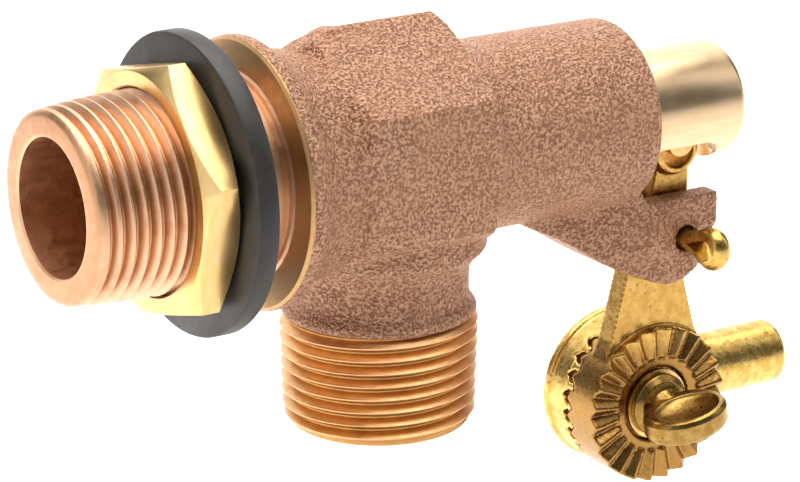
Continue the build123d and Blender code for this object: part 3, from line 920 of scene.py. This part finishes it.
def turn_section(degrees):
    """Turn the selected wire section about its own middle, on a line along X, and give that middle."""
    piece = bpy.context.object
    bpy.ops.object.mode_set(mode="OBJECT")
    chosen = [vertex for vertex in piece.data.vertices if vertex.select]
    middle = sum((vertex.co for vertex in chosen), Vector()) / len(chosen)
    turn = Matrix.Rotation(radians(degrees), 3, "X")
    for vertex in chosen:
        vertex.co = middle + turn @ (vertex.co - middle)
    bpy.ops.object.mode_set(mode="EDIT")
    return middle


def cotter():
    """A split pin of half-round wire: eye in front, two legs, their tips spread behind."""
    bpy.ops.object.select_all(action="DESELECT")
    bpy.ops.mesh.primitive_circle_add(vertices=32, radius=COTTER_R * MM, fill_type="NGON")
    wire = bpy.context.object
    edit(wire)
    bpy.ops.mesh.bisect(plane_co=(0, 0, 0), plane_no=(0, 1, 0), clear_outer=True)
    bpy.ops.object.mode_set(mode="OBJECT")
    wire.location = Vector((0.0, EYE_Y - EYE_INNER_R, 0.0)) * MM
    settle(wire, "split_pin")
    edit(wire)
    eye_centre = Vector((0.0, EYE_Y, 0.0)) * MM
    bpy.ops.mesh.spin(steps=18, angle=radians(EYE_SWEEP), center=eye_centre, axis=(1, 0, 0))
    for along, gap, turn in LEG_STATIONS:
        middle = turn_section(0.0)
        target = Vector((0.0, along, gap + HALF_ROUND_MIDDLE)) * MM
        bpy.ops.mesh.extrude_region_move(TRANSFORM_OT_translate={"value": target - middle})
        turn_section(turn)
    done()
    settings = {"use_axis": (False, False, True), "use_clip": False, "use_mirror_merge": True}
    apply_modifier(wire, "MIRROR", merge_threshold=1e-5, **settings)
    edit(wire)
    done()
    wire.location = Vector((FULCRUM[0], 0.0, FULCRUM[1])) * MM
    return smooth(settle(wire, "split_pin"), 40.0)


# Each machined thread's crest colour (a painted highlight), root colour (painted shade), axis, the axis's
# place, and root and crest radii.
INLET_FINISH = ((0.72, 0.45, 0.29), (0.56, 0.30, 0.16), "X", (0.0, 0.0), 12.1, 13.0)
OUTLET_FINISH = ((0.78, 0.46, 0.22), (0.55, 0.28, 0.09), "Z", (OUTLET_X * MM, 0.0), 12.2, 13.2)


def fasten_everything():
    """Make every piece and put it on the body that carries it."""
    casting()
    inlet_bronze = turned_bronze("inlet_thread", *INLET_FINISH)
    outlet_bronze = turned_bronze("outlet_thread", *OUTLET_FINISH)
    hand_over(inlet_spigot(), "casting", "cast_bronze", inlet_bronze, "valve_body")
    hand_over(outlet_spigot(), "casting", "cast_bronze", outlet_bronze, "valve_body")
    hand_over(lock_nut(), "wall_nut", "nut_brass", NUT_BRASS, "lock_nut")
    hand_over(gasket(), "gasket_ring", "black_rubber", RUBBER, "tank_gasket")
    hand_over(plunger(), "plunger_group", "plunger_brass", PLUNGER_BRASS, "plunger")
    hand_over(lever(), "lever_arm", "cast_brass", LEVER_BRASS, "lever")
    hand_over(float_arm(), "rod_arm", "cast_brass", CAST_BRASS, "float_arm")
    hand_over(thumb_screw(), "clamp_screw", "pin_brass", SCREW_BRASS, "thumb_screw")
    hand_over(cotter(), "casting", "pin_brass", PIN_BRASS, "fulcrum_cotter")


fasten_everything()


# ---------------------------------------------------------------- studio

CAMERA_AIM = Vector((24.86, 0.0, -13.42)) * MM
CAMERA_AZIMUTH = radians(-33.18)
CAMERA_ELEVATION = radians(17.76)
CAMERA_DISTANCE = 472.07 * MM
CAMERA_LENS = 158.07
FLOOR_Z = -0.11
FLOOR_SIZE = 24.0
PAPER_WHITE = (0.88, 0.88, 0.88, 1.0)
# The paper glows less in a pool below and in front of the valve, which keeps undersides from washing out.
DIM_CENTRE = (0.12, -0.32)
DIM_START, DIM_END = 0.20, 0.60
DIM_GLOW = (0.30, 0.30, 0.30)
FULL_GLOW = (1.0, 1.0, 1.0)
GLOW_STRENGTH = 0.90
ROOM_LIGHT = 0.08
WHITE_LIGHT = (1.0, 1.0, 1.0)
WARM_LIGHT = (1.0, 0.96, 0.90)
# Soft boxes: name, place, width, height, watts and colour.
SOFT_BOXES = (
    ("overhead", (0.05, 0.05, 0.62), 0.9, 0.8, 10.5, WARM_LIGHT),
    ("behind", (0.35, 0.90, 0.36), 1.8, 0.9, 8.5, WHITE_LIGHT),
    ("left", (-0.85, 0.05, 0.34), 1.1, 0.7, 2.6, WHITE_LIGHT),
    ("right", (0.60, -0.20, 0.30), 0.25, 0.4, 0.4, WHITE_LIGHT),
)


def studio_camera():
    """A long lens in front and to the left, a little above the valve."""
    flat = cos(CAMERA_ELEVATION)
    back = Vector((sin(CAMERA_AZIMUTH) * flat, -cos(CAMERA_AZIMUTH) * flat, sin(CAMERA_ELEVATION)))
    data = bpy.data.cameras.new("camera")
    data.lens = CAMERA_LENS
    data.sensor_width = 36.0
    data.clip_start = 0.01
    camera = bpy.data.objects.new("camera", data)
    camera.location = CAMERA_AIM + back * CAMERA_DISTANCE
    camera.rotation_euler = (-back).to_track_quat("-Z", "Y").to_euler()
    bpy.context.scene.collection.objects.link(camera)
    bpy.context.scene.camera = camera


def soft_box(name, place, width, height, power, colour):
    """A rectangular lamp turned towards the valve."""
    data = bpy.data.lights.new(name, "AREA")
    data.shape = "RECTANGLE"
    data.size = width
    data.size_y = height
    data.energy = power
    data.color = colour
    lamp = bpy.data.objects.new(name, data)
    lamp.location = place
    lamp.rotation_euler = (CAMERA_AIM - Vector(place)).to_track_quat("-Z", "Y").to_euler()
    bpy.context.scene.collection.objects.link(lamp)


def studio_floor():
    """Plain white paper that glows faintly, so that the valve stands on white."""
    bpy.ops.mesh.primitive_plane_add(size=FLOOR_SIZE, location=(0.0, 0.0, FLOOR_Z))
    floor = bpy.context.object
    floor.name = "floor"
    paper = Recipe("white_paper")
    tooth = paper.noise(1.0 * MM)
    paper.finish(Roughness=0.9, Normal=paper.bump(tooth, 0.05, 0.02 * MM))
    x, y = paper.axes()[:2]
    distance = radius_about(x, y, DIM_CENTRE)
    glow = paper.tint(paper.step(distance, DIM_START, DIM_END), DIM_GLOW, FULL_GLOW)
    paper.finish(Base_Color=PAPER_WHITE, Emission_Color=glow, Emission_Strength=GLOW_STRENGTH)
    floor.data.materials.append(paper.material)


def studio():
    """Camera, paper, faint room light and four soft boxes."""
    studio_camera()
    studio_floor()
    world = bpy.data.worlds.new("studio")
    world.use_nodes = True
    background = world.node_tree.nodes["Background"]
    background.inputs["Color"].default_value = (*WHITE_LIGHT, 1.0)
    background.inputs["Strength"].default_value = ROOM_LIGHT
    bpy.context.scene.world = world
    bpy.context.scene.view_settings.view_transform = "Standard"
    for settings in SOFT_BOXES:
        soft_box(*settings)


studio()
